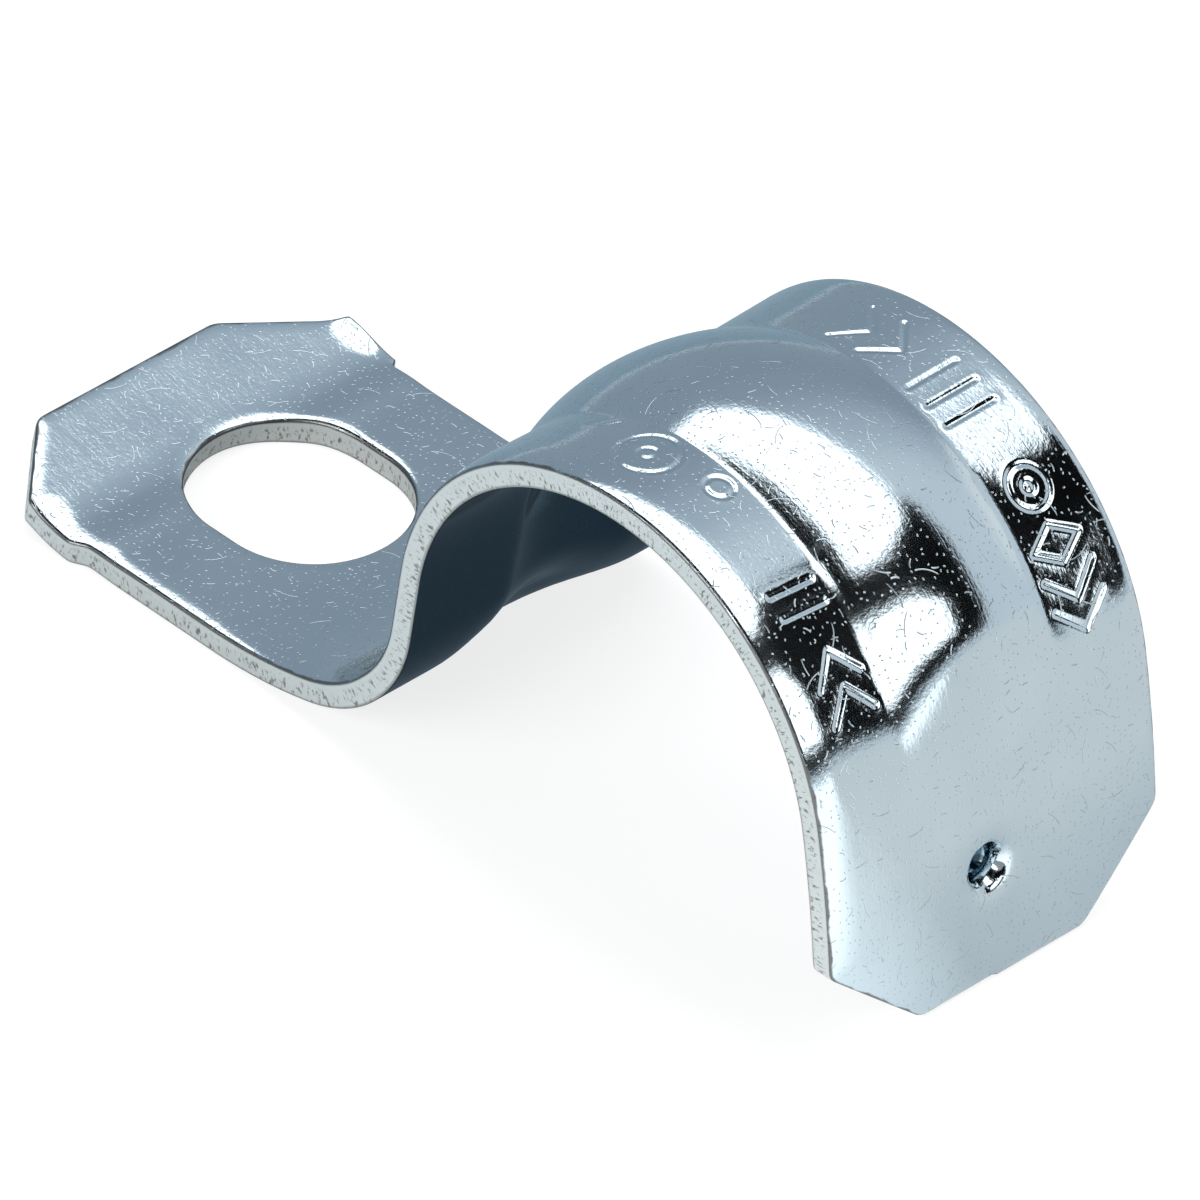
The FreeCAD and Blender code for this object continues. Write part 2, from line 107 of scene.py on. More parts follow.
def traceRun(points, heading, length, radius=None):
    # A straight run, or an arc that turns left for a positive radius. Gives the new heading
    count = max(2, math.ceil(length / fold["step"]))
    x, z = points[-1]
    for step in range(1, count + 1):
        along = length * step / count
        if radius is None:
            points.append((x + along * math.cos(heading), z + along * math.sin(heading)))
        else:
            turned = heading + along / radius
            points.append((x + radius * (math.sin(turned) - math.sin(heading)),
                           z - radius * (math.cos(turned) - math.cos(heading))))
    return heading if radius is None else heading + length / radius


def traceFold():
    # The middle of the sheet from head to tail about the conduit's axis, and where runs start
    head = [(0.0, half)]
    headRadius = fold["headRadius"] + half
    headArc = headRadius * math.radians(fold["headTilt"])
    heading = traceRun(head, math.pi, headArc, -headRadius)
    traceRun(head, heading, fold["headFlat"])

    line = [(0.0, half)]
    starts = {"head": -headArc - fold["headFlat"], "foot": 0.0}
    heading = traceRun(line, 0.0, fold["footFlat"])
    along = fold["footFlat"]
    for name, radius, turn in (
            ("lead", fold["leadRadius"] + half, fold["leadTurn"]),
            ("bend", fold["bendRadius"] + half, fold["riserSlope"] - fold["leadTurn"]),
            ("riser", None, 0),
            ("rear", -fold["rearRadius"] - half, fold["rearTurn"]),
            ("front", -fold["seatRadius"] - half, fold["frontTurn"])):
        starts[name] = along
        length = abs(radius) * math.radians(turn) if radius else fold["riserFlat"]
        axis = (line[-1][0] - (radius or 0) * math.sin(heading),
                line[-1][1] + (radius or 0) * math.cos(heading))
        heading = traceRun(line, heading, length, radius)
        along += length
    starts["tail"] = along
    # The tail's middle ends in the plane of the foot's underside, at height zero.
    radius = fold["tailRadius"]
    centreUp = line[-1][1] - radius * math.cos(heading)
    length = radius * (heading + math.acos(-centreUp / radius))
    traceRun(line, heading, length, -radius)
    starts["end"] = along + length
    return np.array(head[:0:-1] + line) - np.array(axis) + (0, fold["lift"]), starts


foldPoints, starts = traceFold()
print("fold line", len(foldPoints), "points", {name: round(u, 2) for name, u in starts.items()})


def makeCurves(name, lines):
    # A curve object of straight pieces through lists of points, in millimetres
    curve = bpy.data.curves.new(name, "CURVE")
    curve.dimensions = "3D"
    for points in lines:
        spline = curve.splines.new("POLY")
        spline.points.add(len(points) - 1)
        for target, point in zip(spline.points, points):
            target.co = (*point, 1.0)
    maker = bpy.data.objects.new(name, curve)
    bpy.context.scene.collection.objects.link(maker)
    return maker


foldLine = makeCurves("foldLine", [[(x, 0, z) for x, z in foldPoints]])

# Outline of the blank

cut = {
    "nearFoot": 7.20, "farFoot": 7.06, "saddle": 7.275,
    "nearEar": 7.47, "farEar": 7.36, "earTaper": 0.1,
    "nearHeadClip": (2.6, 2.75), "farHeadClip": (2.35, 4.15),  # along and across the strip
    "nearTailClip": (3.5, 4.0), "farTailClip": (3.25, 3.3),
    "nearStep": 0.62, "farStep": 0.1,  # run of the step from the ear in to the foot
    "stepPlace": -0.15,  # just on the head's side of the bend line
    "widenAfter": 2.0, "widenBefore": 1.0,  # from past the lead's start to short of the riser
    "cornerRadius": 0.28, "sharpRadius": 0.12, "sideRadius": 3.0, "spacing": 0.16,
    "slotPlace": 3.0, "slotWidth": 6.85, "slotLength": 8.1,
    "pierceUp": 4.4, "pierceAcross": -0.25,  # from the tail's end, and off the middle
}


def outlineCorners():
    # Corners anticlockwise, each with how much it is rounded
    head, end = starts["head"], starts["end"]
    sharp, blunt, gentle = cut["sharpRadius"], cut["cornerRadius"], cut["sideRadius"]
    stepPlace = cut["stepPlace"]
    widenFrom, widenTo = starts["lead"] + cut["widenAfter"], starts["riser"] - cut["widenBefore"]
    corners = []
    for side, ear, foot, headClip, tailClip, step in (
            (-1, cut["nearEar"], cut["nearFoot"], cut["nearHeadClip"], cut["nearTailClip"],
             cut["nearStep"]),
            (1, cut["farEar"], cut["farFoot"], cut["farHeadClip"], cut["farTailClip"],
             cut["farStep"])):
        run = [
            (head, side * (ear - headClip[1]), blunt),
            (head + headClip[0], side * (ear - cut["earTaper"]), sharp),
            (stepPlace, side * ear, sharp),
            (stepPlace + step, side * foot, sharp),
            (widenFrom, side * foot, gentle),
            (widenTo, side * cut["saddle"], gentle),
            (end - tailClip[0], side * cut["saddle"], blunt),
            (end, side * (cut["saddle"] - tailClip[1]), blunt),
        ]
        corners += run if side < 0 else run[::-1]
    return corners


def roundedLoop(corners, spacing):
    # A closed loop of evenly spaced points through corners cut by short curves. A cut takes
    # less than half of each side that it meets.
    dense = []
    count = len(corners)
    for index in range(count):
        before, here, after = (np.array(corners[(index + k) % count][:2]) for k in (-1, 0, 1))
        inward, outward = before - here, after - here
        reach = min(corners[index][2], np.linalg.norm(inward) / 2.2, np.linalg.norm(outward) / 2.2)
        first = here + inward / np.linalg.norm(inward) * reach
        last = here + outward / np.linalg.norm(outward) * reach
        for t in np.linspace(0, 1, 9):
            dense.append((1 - t) ** 2 * first + 2 * t * (1 - t) * here + t * t * last)
    dense = np.array(dense + dense[:1])
    return resample(dense, spacing)


def resample(dense, spacing):
    # Evenly spaced points along a closed line, whose first point comes again at its end
    lengths = np.r_[0, np.cumsum(np.linalg.norm(np.diff(dense, axis=0), axis=1))]
    count = round(lengths[-1] / spacing)
    places = np.linspace(0, lengths[-1], count, endpoint=False)
    return np.c_[np.interp(places, lengths, dense[:, 0]), np.interp(places, lengths, dense[:, 1])]


def slotLoop(spacing):
    # The round-ended slot, clockwise, so that the sheet lies on its left
    radius = cut["slotWidth"] / 2
    straight = cut["slotLength"] / 2 - radius
    turns = np.linspace(0, -2 * math.pi, 361)
    along = cut["slotPlace"] + radius * np.cos(turns) + straight * np.sign(np.cos(turns))
    return resample(np.c_[along, radius * np.sin(turns)], spacing)


def leftNormals(loop):
    # Unit directions into the sheet, which lies on the left of every loop
    along = np.roll(loop, -1, axis=0) - np.roll(loop, 1, axis=0)
    along /= np.linalg.norm(along, axis=1)[:, None]
    return np.c_[-along[:, 1], along[:, 0]]


# Stamped marks: plain bars, chevrons, rings and dots in two rows, one each side of the rib

stamp = {"nearRow": -4.85, "farRow": 4.95, "height": 2.1}


def ring(u, y, radius):
    turns = np.radians(np.linspace(0, 360, 41))
    return np.c_[u + radius * np.cos(turns), y + radius * np.sin(turns)]


def bar(u, y, height, lean=0.0):
    return np.array([(u - lean / 2, y - height / 2), (u + lean / 2, y + height / 2)])


def chevron(u, y, height, depth):
    return np.array([(u - depth / 2, y - height / 2), (u + depth / 2, y),
                     (u - depth / 2, y + height / 2)])


def diamond(u, y, height, length):
    return np.array([(u - length / 2, y), (u, y - height / 2), (u + length / 2, y),
                     (u, y + height / 2), (u - length / 2, y)])


def stampedStrokes():
    near, far, tall = stamp["nearRow"], stamp["farRow"], stamp["height"]
    top = starts["front"] + 5.4  # near the crown, where the rows begin
    strokes = [
        bar(top - 3.4, near + 0.75, 0.5, 0.45), bar(top - 2.7, near + 0.75, 0.5, 0.45),
        ring(top - 0.3, near, 1.08), ring(top - 0.3, near, 0.3),
        ring(top + 2.3, near + 0.55, 0.45),
        bar(top + 6.3, near, tall * 0.85, 0.1), bar(top + 7.1, near, tall * 0.85, 0.1),
        chevron(top + 9.0, near, tall * 0.85, -1.0), chevron(top + 10.2, near, tall * 0.85, -1.0),
        chevron(top - 0.6, far, tall, 1.0), chevron(top + 0.75, far, tall, 1.0),
        bar(top + 2.5, far, tall, 0.0), bar(top + 3.4, far, tall, 0.0), bar(top + 4.3, far, tall, 0.0),
        ring(top + 7.2, far + 0.1, 0.75), ring(top + 7.2, far + 0.1, 0.2),
        diamond(top + 9.1, far, tall * 0.95, 1.25),
        chevron(top + 10.5, far, tall, 0.9), chevron(top + 11.5, far, tall, 0.9),
    ]
    return strokes


strokes = stampedStrokes()
marks = makeCurves("marks", [[(u, y, half) for u, y in stroke] for stroke in strokes])


def segmentDistance(points, lines):
    # Distance from each point to the nearest piece of any of the lines
    nearest = np.full(len(points), 1e9)
    for line in lines:
        for a, b in zip(line[:-1], line[1:]):
            along = b - a
            share = np.clip(((points - a) @ along) / (along @ along), 0, 1)
            gap = np.linalg.norm(points - a - share[:, None] * along, axis=1)
            nearest = np.minimum(nearest, gap)
    return nearest


# Rib over the saddle

rib = {
    "height": 0.6, "rearHalfWidth": 3.08, "frontHalfWidth": 3.5,
    "widenFrom": 1.5, "widenTo": 1.0,  # past the starts of the rear and front arcs
    "fadeStart": 84.0, "fadeLength": 5.7,  # degrees into the front arc, millimetres
    # In the bend the rib flares into a dart: its height and half-width, then how far below the
    # riser it begins and is whole, and how far it runs on from there
    "dart": 0.9, "dartHalfWidth": 4.6, "dartStart": 0.2, "dartPlace": 3.4, "dartReach": 3.4,
    "crease": 0.03, "innerCrease": 0.07,  # rounding of the two creases
    "landTilt": 1.5, "landRun": 2.0,  # degrees by which the lands lean, from this far below the riser
}


def ribWidth(u):
    share = smooth(u, starts["rear"] + rib["widenFrom"], starts["front"] + rib["widenTo"])
    return rib["rearHalfWidth"] + share * (rib["frontHalfWidth"] - rib["rearHalfWidth"])


def ribRise(u, y, side):
    # Rise of the sheet's outer (side 1) or inner (side -1) face, as a share of the rib's height
    height, width = rib["height"], ribWidth(u)
    lean = math.tan(math.radians(rib["landTilt"]))
    saddle = smooth(u, starts["riser"] - rib["landRun"], starts["rear"])
    land = -lean * np.maximum(cut["saddle"] - np.maximum(np.abs(y), width), 0) * saddle
    deep = height + lean * (cut["saddle"] - width) * saddle
    crown = (width ** 2 + deep ** 2) / (2 * deep)
    inset = 0 if side > 0 else fold["gauge"]
    raw = np.sqrt(np.maximum((crown - inset) ** 2 - y ** 2, 0.01)) - (crown - height - inset)
    rounding = rib["crease"] if side > 0 else rib["innerCrease"]
    rise = softMax(raw, land, rounding) - rounding * 0.15  # the rounding lifts the faces a little
    below = starts["riser"] - u
    across = np.clip(y / rib["dartHalfWidth"], -1, 1)
    dart = rib["dart"] * np.cos(across * math.pi / 2) ** 2
    dart *= 1 - smooth(below, rib["dartPlace"], rib["dartPlace"] + rib["dartReach"])
    flared = smooth(below, rib["dartStart"], rib["dartPlace"])
    rise = rise * (1 - flared) + dart * flared
    fadeStart = starts["front"] + (fold["seatRadius"] + half) * math.radians(rib["fadeStart"])
    return rise * (1 - smooth(u, fadeStart, fadeStart + rib["fadeLength"])) / height


# Sheared edge and pierced hole, as rows of (step into the sheet, depth below the top)

edgeRows = [(0.20, 0), (0.13, 0), (0.08, 0.004), (0.045, 0.016), (0.018, 0.042), (0.004, 0.08),
            (0, 0.14), (0, 0.24), (0, 0.36), (0.004, 0.48), (0.012, 0.58), (0.02, 0.68),
            (0.024, 0.78), (0.026, 0.88), (0.03, 0.97), (0.045, 1.022), (0.075, 1.04), (0.16, 1.04)]
wallRows = (5, 15)  # the first and last rows that are sheared metal rather than rolled face
holeRows = [(1.9, 0.0), (1.6, 0.008), (1.35, 0.026), (1.17, 0.052), (1.03, 0.084), (0.94, 0.12),
            (0.87, 0.165), (0.81, 0.22), (0.75, 0.31), (0.68, 0.44), (0.61, 0.58), (0.565, 0.74),
            (0.55, 1.1), (0.56, 1.36), (0.62, 1.42),
            (0.76, 1.44), (0.92, 1.41), (1.01, 1.33), (1.05, 1.2), (1.08, 1.1), (1.16, 1.05),
            (1.3, 1.04)]
tornBand = {"below": 0.3, "above": 0.1}  # distances from the edge's top and from its foot
grid = {
    "coarse": 0.2, "fine": 0.056, "fineReach": 0.27, "crease": 0.25, "under": 0.3,
    "halfWidth": 7.5, "clear": 0.45,  # no point lies nearer a loop than this share of its spacing
}

# Margins that the press leaves on the top face, in millimetres, and shares of the roll's depth
margin = {
    "narrow": 0.5, "broad": 1.25, "fall": 2.37,
    "narrowShare": 0.4, "slotShare": 0.55, "footShare": 0.3,
    "rim": 0.18, "headRim": 0.324,  # where the zinc wears thin; the wider band along the head's end is painted shade
    "swelling": 0.08, "swellingPlace": 0.8, "swellingReach": 0.7,
    "earLength": 2.2, "earFrom": 6.1, "earWidth": 1.26,
    # Where each fades in or out: along the foot, towards the near side, past the near clip,
    # from the bend to the riser, and at the head's end
    "footFade": (-0.3, 3.0), "sideFade": (5.0, 6.2), "clipFade": 0.7,
    "bendFade": (2.0, -1.0), "headFade": (-0.8, -0.4),
}


def insideLoop(points, loop):
    # Which points lie inside a closed loop
    crossings = np.zeros(len(points), int)
    x, y = points[:, 0], points[:, 1]
    for a, b in zip(loop, np.roll(loop, -1, axis=0)):
        spans = (a[1] > y) != (b[1] > y)
        if spans.any():
            at = a[0] + (y - a[1]) / (b[1] - a[1]) * (b[0] - a[0])
            crossings += spans & (x < at)
    return crossings % 2 == 1


def inSheet(points, loops):
    # Which points lie inside the first loop and outside the rest
    inside = insideLoop(points, loops[0])
    for loop in loops[1:]:
        inside &= ~insideLoop(points, loop)
    return inside


def gridPoints(spacing):
    # Points all over the blank and a little past its sides
    along = np.arange(starts["head"] + spacing / 2, starts["end"], spacing)
    across = np.arange(-grid["halfWidth"] + spacing / 2, grid["halfWidth"], spacing)
    u, y = np.meshgrid(along, across, indexing="ij")
    return np.c_[u.ravel(), y.ravel()]


def triangulate(loops, points):
    # Triangles between the loops, with the points inside. Numbers run loops first
    clear = grid["clear"] * cut["spacing"]
    points = points[inSheet(points, loops)]
    closed = [np.r_[loop, loop[:1]] for loop in loops]
    points = points[segmentDistance(points, closed) > clear]
    places = np.concatenate([*loops, points])
    edges, base = [], 0
    for loop in loops:
        count = len(loop)
        edges += [(base + i, base + (i + 1) % count) for i in range(count)]
        base += count
    made = delaunay_2d_cdt([Vector(p) for p in places], edges, [], 0, 1e-7)
    triangles, origins = made[2], made[3]
    source = [origin[0] for origin in origins]
    triangles = np.array([[source[i] for i in triangle] for triangle in triangles])
    keep = inSheet(places[triangles].mean(axis=1), loops)
    # A triangle on a loop is kept by its side of it, since some there are too thin to measure.
    border = set(edges)
    for number, (a, b, c) in enumerate(triangles.tolist()):
        for side in ((a, b), (b, c), (c, a)):
            if side in border:
                keep[number] = True
            elif side[::-1] in border:
                keep[number] = False
    return points, triangles[keep]


def buildBlank():
    # The flat blank as one closed mesh
    outline = roundedLoop(outlineCorners(), cut["spacing"])
    slot = slotLoop(cut["spacing"])
    holeCentre = np.array((starts["end"] - cut["pierceUp"], cut["pierceAcross"]))
    turns = np.linspace(0, -2 * math.pi, 56, endpoint=False)
    circle = np.c_[np.cos(turns), np.sin(turns)]

    places, faces, isTorn = [], [], []
    bounds = {"top": [], "under": []}

    def addRows(rings, isWall):
        # Bridges rings of (u, y, n) points, one below the other
        base = sum(len(p) for p in places)
        count = len(rings[0])
        places.extend(rings)
        for row in range(len(rings) - 1):
            for i in range(count):
                j = (i + 1) % count
                upper, lower = base + row * count, base + (row + 1) * count
                faces.append((upper + i, lower + i, lower + j, upper + j))
                isTorn.append(isWall(row))
        bounds["top"].append((rings[0][:, :2], base))
        bounds["under"].append((rings[-1][:, :2], base + (len(rings) - 1) * count))

    for loop in (outline, slot):
        inward = leftNormals(loop)
        addRows([np.c_[loop + inward * step, np.full(len(loop), half - depth)]
                 for step, depth in edgeRows], lambda row: wallRows[0] <= row < wallRows[1])
    addRows([np.c_[holeCentre + circle * radius, np.full(len(circle), half - depth)]
             for radius, depth in holeRows], lambda row: False)

    # The top face is finest along the stamped strokes and the rib's creases.
    along = np.arange(starts["riser"] - 1.5, starts["tail"] - 8.0, grid["crease"])
    creases = [np.c_[along, side * ribWidth(along)] for side in (-1, 1)]
    coarse, fine = gridPoints(grid["coarse"]), gridPoints(grid["fine"])
    details = strokes + creases
    coarse = coarse[segmentDistance(coarse, details) > grid["fineReach"]]
    fine = fine[segmentDistance(fine, details) <= grid["fineReach"]]
    for name, points, flip in (("top", np.r_[coarse, fine], False),
                               ("under", gridPoints(grid["under"]), True)):
        loops = [loop for loop, start in bounds[name]]
        inner, triangles = triangulate(loops, points)
        base = sum(len(p) for p in places)
        numbers = np.concatenate([start + np.arange(len(loop)) for loop, start in bounds[name]]
                                 + [base + np.arange(len(inner))])
        places.append(np.c_[inner, np.full(len(inner), -half if flip else half)])
        for triangle in numbers[triangles]:
            faces.append(tuple(int(i) for i in (triangle[::-1] if flip else triangle)))
            isTorn.append(False)

    places = np.concatenate(places)
    mesh = bpy.data.meshes.new("blank")
    mesh.from_pydata(places.tolist(), [], faces)
    mesh.polygons.foreach_set("use_smooth", [True] * len(faces))
    mesh.attributes.new("sheared", "BOOLEAN", "FACE").data.foreach_set("value", isTorn)
    shapeBlank(mesh, places, outline, slot)
    print("blank", len(places), "points", len(faces), "faces")
    return mesh


def shapeBlank(mesh, places, outline, slot):
    # Keeps on each point how far it rises, rolls over or is worn, with painted shade in the rim along
    # the head's end, and its place in the blank
    u, y, n = places.T
    share = np.clip(n / fold["gauge"] + 0.5, 0, 1)
    rise = share * ribRise(u, y, 1) + (1 - share) * ribRise(u, y, -1)
    # Bending the head up leaves a low swelling beside the bend.
    rise += margin["swelling"] * np.exp(-((u - margin["swellingPlace"])
                                          / margin["swellingReach"]) ** 2)
    bendFade = margin["bendFade"]
    saddle = smooth(u, starts["bend"] + bendFade[0], starts["riser"] + bendFade[1])
    edge = segmentDistance(places[:, :2], [np.r_[outline, outline[:1]]])
    slotEdge = segmentDistance(places[:, :2], [np.r_[slot, slot[:1]]])
    # The rolled margin is broad along the near side and narrow on the rest and round the slot.
    broad = 1 - (1 - margin["footShare"]) * smooth(u, *margin["footFade"])
    broad *= smooth(-y, *margin["sideFade"])
    clipEnd = starts["head"] + cut["nearHeadClip"][0]
    broad = np.maximum(saddle * (y < 0), broad * smooth(u, clipEnd, clipEnd + margin["clipFade"]))
    width = margin["narrow"] + (margin["broad"] - margin["narrow"]) * broad
    roll = np.clip(1 - edge / width, 0, 1) ** margin["fall"]
    roll *= margin["narrowShare"] + (1 - margin["narrowShare"]) * broad
    slotRoll = np.clip(1 - slotEdge / margin["narrow"], 0, 1) ** margin["fall"]
    roll = -np.maximum(roll, slotRoll * margin["slotShare"]) * share
    ear = smooth(-u, 0.0, margin["earLength"])
    ear *= np.clip((y - margin["earFrom"]) / margin["earWidth"], 0, 1) ** 3
    wall = (n < half - tornBand["below"]) & (n > -half + tornBand["above"])
    # Along the head's end the rim is wider: painted shade on the end edge, which faces away from the
    # light.
    atHead = smooth(starts["head"] - u, *margin["headFade"])
    rimWidth = margin["rim"] + (margin["headRim"] - margin["rim"]) * atHead
    rim = np.clip(1 - np.minimum(edge, slotEdge) / rimWidth, 0, 1)
    for name, values in (("rise", rise), ("roll", roll), ("ear", ear), ("rim", rim),
                         ("wall", wall.astype(float))):
        mesh.attributes.new(name, "FLOAT", "POINT").data.foreach_set(
            "value", values.astype(np.float32))
    mesh.attributes.new("flatPlace", "FLOAT_VECTOR", "POINT").data.foreach_set(
        "vector", places.astype(np.float32).ravel())


# Fold tree

unevenness = {"waveSize": 6.25, "tearSize": 0.3125, "tearLevel": 0.62}  # sizes in millimetres
form = {  # millimetres
    "Rib Height": rib["height"], "Ear Lift": 0.34, "Roll Depth": 0.17,
    "Groove Width": 0.3, "Groove Depth": 0.055, "Lip": 0.008, "Lip Width": 0.14,
    "Tear": 0.035, "Waviness": 0.014,
}


def buildFoldTree():
    # Raises the rib, stamps the marks, tears the sheared edge and folds the blank
    tree = bpy.data.node_groups.new("foldStrap", "GeometryNodeTree")
    sockets = [("Geometry", "Geometry"), ("Fold Line", "Object"), ("Marks", "Object"),
               *((name, "Float") for name in form), ("Head Start", "Float"), ("Seed", "Int"),
               ("Plate", "Material"), ("Sheared", "Material")]
    for name, kind in sockets:
        tree.interface.new_socket(name, in_out="INPUT", socket_type="NodeSocket" + kind)
    tree.interface.new_socket("Geometry", in_out="OUTPUT", socket_type="NodeSocketGeometry")
    given = tree.nodes.new("NodeGroupInput").outputs
    maths, vectorMath, attribute = ("ShaderNodeMath", "ShaderNodeVectorMath",
                                    "GeometryNodeInputNamedAttribute")
    times, plus, minus = ({"operation": name} for name in ("MULTIPLY", "ADD", "SUBTRACT"))

    place = addNode(tree, "GeometryNodeInputPosition")
    blank = addNode(tree, "ShaderNodeSeparateXYZ", None, {0: place}).node.outputs

    # Stamped grooves follow the distance to the strokes, with a low lip on both sides.
    strokeCurves = addNode(tree, "GeometryNodeObjectInfo", None, {"Object": given["Marks"]},
                           "Geometry")
    strokeEdges = addNode(tree, "GeometryNodeCurveToMesh", None, {"Curve": strokeCurves})
    near = addNode(tree, "GeometryNodeProximity", {"target_element": "EDGES"}, {0: strokeEdges},
                   "Distance")
    halfGroove = addNode(tree, maths, times, {0: given["Groove Width"], 1: 0.5})
    groove = addNode(tree, "ShaderNodeMapRange", None,
                     {"Value": near, "From Min": 0.0, "From Max": halfGroove,
                      "To Min": given["Groove Depth"], "To Max": 0.0})
    lip = addNode(tree, maths, minus, {0: near, 1: halfGroove})
    lip = addNode(tree, "ShaderNodeMapRange", {"interpolation_type": "SMOOTHSTEP"},
                  {"Value": addNode(tree, maths, {"operation": "ABSOLUTE"}, {0: lip}),
                   "From Min": 0.0, "From Max": given["Lip Width"],
                   "To Min": given["Lip"], "To Max": 0.0})

    # The face is never quite flat after pressing.
    wave = addNode(tree, "ShaderNodeTexNoise", None,
                   {"Vector": place, "Scale": 1 / unevenness["waveSize"], "Detail": 1.0})
    wave = addNode(tree, maths, times, {0: addNode(tree, maths, minus, {0: wave, 1: 0.5}),
                                        1: given["Waviness"]})
    raised = blank["Z"]
    for name, size in (("rise", "Rib Height"), ("ear", "Ear Lift"), ("roll", "Roll Depth")):
        raised = addNode(tree, maths, {"operation": "MULTIPLY_ADD"},
                         {0: addNode(tree, attribute, {"data_type": "FLOAT"}, {"Name": name}),
                          1: given[size], 2: raised})
    for step in (lip, wave):
        raised = addNode(tree, maths, plus, {0: raised, 1: step})
    raised = addNode(tree, maths, minus, {0: raised, 1: groove})

    # Sheared metal is torn across the lower part of the edge.
    tearPlace = addNode(tree, vectorMath, times, {0: place, 1: (1.0, 1.0, 0.35)})
    tear = addNode(tree, "ShaderNodeTexNoise", {"noise_dimensions": "4D"},
                   {"Vector": tearPlace, "W": given["Seed"], "Scale": 1 / unevenness["tearSize"],
                    "Detail": 3.0})
    tear = addNode(tree, maths, minus, {0: tear, 1: unevenness["tearLevel"]})
    tear = addNode(tree, maths, times, {0: tear, 1: given["Tear"]})
    tear = addNode(tree, maths, times,
                   {0: tear, 1: addNode(tree, attribute, {"data_type": "FLOAT"}, {"Name": "wall"})})
    torn = addNode(tree, vectorMath, {"operation": "SCALE"},
                   {0: addNode(tree, "GeometryNodeInputNormal"), "Scale": tear})
    torn = addNode(tree, "ShaderNodeSeparateXYZ", None, {0: torn}).node.outputs

    # Each point goes to its own place along the fold line, square to it.
    along = addNode(tree, maths, plus, {0: blank["X"], 1: torn["X"]})
    along = addNode(tree, maths, minus, {0: along, 1: given["Head Start"]})
    foldCurve = addNode(tree, "GeometryNodeObjectInfo", None, {"Object": given["Fold Line"]},
                        "Geometry")
    sample = addNode(tree, "GeometryNodeSampleCurve", {"mode": "LENGTH"},
                     {"Curves": foldCurve, "Length": along}).node.outputs
    upright = addNode(tree, vectorMath, {"operation": "CROSS_PRODUCT"},
                      {0: sample["Tangent"], 1: (0.0, 1.0, 0.0)})
    lifted = addNode(tree, vectorMath, {"operation": "SCALE"}, {0: upright, "Scale": raised})
    across = addNode(tree, maths, plus, {0: blank["Y"], 1: torn["Y"]})
    folded = addNode(tree, vectorMath, plus, {0: sample["Position"], 1: lifted})
    folded = addNode(tree, vectorMath, plus,
                     {0: folded, 1: addNode(tree, "ShaderNodeCombineXYZ", None, {"Y": across})})
    strap = addNode(tree, "GeometryNodeSetPosition", None,
                    {"Geometry": given["Geometry"], "Position": folded})
    strap = addNode(tree, "GeometryNodeTransform", None,
                    {"Geometry": strap, "Scale": (millimetre,) * 3})
    strap = addNode(tree, "GeometryNodeRealizeInstances", None, {0: strap})
    strap = addNode(tree, "GeometryNodeSetMaterial", None,
                    {"Geometry": strap, "Material": given["Plate"]})
    isSheared = addNode(tree, attribute, {"data_type": "BOOLEAN"}, {"Name": "sheared"})
    strap = addNode(tree, "GeometryNodeSetMaterial", None,
                    {"Geometry": strap, "Selection": isSheared, "Material": given["Sheared"]})
    addNode(tree, "NodeGroupOutput", None, {0: strap})
    return tree


# Materials


def newMaterial(name):
    material = bpy.data.materials.new(name)
    material.use_nodes = True
    tree = material.node_tree
    tree.nodes.clear()
    shader = addNode(tree, "ShaderNodeBsdfPrincipled").node
    addNode(tree, "ShaderNodeOutputMaterial", None, {"Surface": shader.outputs[0]})
    return material, tree, shader


zinc = {
    "face": ("#b4c2ca", "#c3d0d6"), "conduitSidePaintedShade": "#536d7d", "scratch": "#a3aeb5",
    "rim": "#4c4742", "rimRoughness": 0.4, "rimShare": 0.85, "rimWornAndShaded": (0.95, 1.25),
    "roughness": (0.075, 0.12), "scratchRoughness": 0.36,
    "cloudScale": 260.0, "wearScale": 1400.0,  # cells to a metre
    # Sizes and heights in millimetres: dents, grain, and the rolling lines along the strip
    "grain": 0.15, "grainHeight": 0.0038, "dent": 0.8, "dentHeight": 0.005,
    "lineLength": 3.0, "lineWidth": 0.1, "lineHeight": 0.0018,
    # Hairs and specks: at most one in each cell of this size, with its half-length and
    # half-width in millimetres, and the share of cells that hold none
    "marks": ((1.4, 0.45, 0.02), (0.7, 0.16, 0.024), (0.24, 0.045, 0.026)),
    "clean": 0.52, "markDepth": 0.005, "insideShare": 0.2,
}


